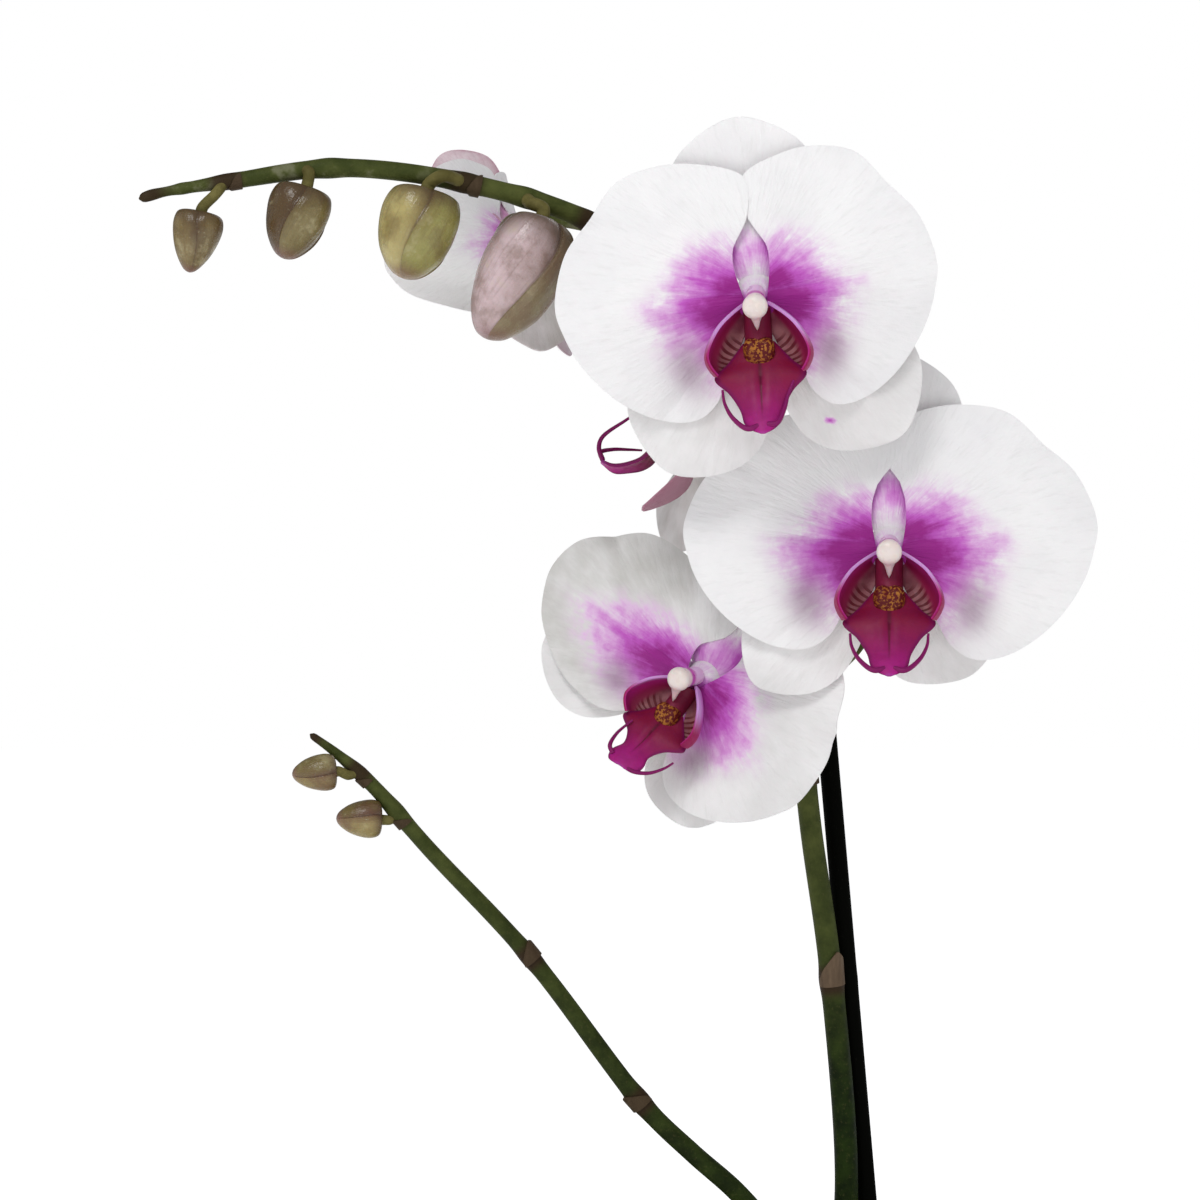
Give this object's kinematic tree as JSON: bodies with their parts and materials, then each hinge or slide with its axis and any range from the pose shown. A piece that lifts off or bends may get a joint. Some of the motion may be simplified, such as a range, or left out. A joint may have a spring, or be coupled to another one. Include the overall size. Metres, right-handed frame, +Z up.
{
  "type": "potted moth orchid",
  "caption": "Moth orchid in a round pot: an arching spike with white, magenta-flushed blooms and green buds, tied to a stake, and a young side spike over strap leaves.",
  "frame": {"origin": "middle of the pot's base, on the surface it stands on", "axes": "+Z up; the picture looks along +Y; +X is the picture's right, so the flower spike arches towards -X"},
  "size_m": [0.338, 0.1672, 0.4498],
  "materials": {
    "petal_white": "waxy, satin",
    "lip_magenta": "waxy, satin",
    "column_cream": "waxy, satin",
    "stem_green": "satin",
    "bud_green": "satin",
    "bud_pink": "satin",
    "leaf_green": "glossy upper face",
    "crown_green": "matte",
    "root_silver": "matte",
    "bark_brown": "rough",
    "pot_glaze": "glossy glaze",
    "stake_dark": "matte",
    "clip_green": "matte"
  },
  "bodies": {
    "root": {"pot": "pot_glaze", "flower_spike": "stem_green", "side_spike": "stem_green", "crown": "crown_green", "root_front": "root_silver", "root_left": "root_silver", "root_right": "root_silver", "root_back": "root_silver", "root_over_rim": "root_silver", "bark": "bark_brown", "stake": "stake_dark", "stake_clip": "clip_green", "leaf_low_right": "leaf_green", "leaf_low_left": "leaf_green", "leaf_middle_right": "leaf_green", "leaf_middle_left": "leaf_green", "leaf_young": "leaf_green", "bloom_top_petals": "petal_white", "bloom_top_lip": "lip_magenta", "bloom_top_column": "column_cream", "bloom_right_petals": "petal_white", "bloom_right_lip": "lip_magenta", "bloom_right_column": "column_cream", "bloom_left_petals": "petal_white", "bloom_left_lip": "lip_magenta", "bloom_left_column": "column_cream", "bloom_behind_petals": "petal_white", "bloom_behind_lip": "lip_magenta", "bloom_behind_column": "column_cream", "bloom_opening_petals": "petal_white", "bloom_opening_lip": "lip_magenta", "bloom_opening_column": "column_cream", "bud_ripe": "bud_pink", "bud_large": "bud_green", "bud_middle": "bud_green", "bud_small": "bud_green", "side_bud_upper": "bud_green", "side_bud_lower": "bud_green"}
  },
  "joints": []
}
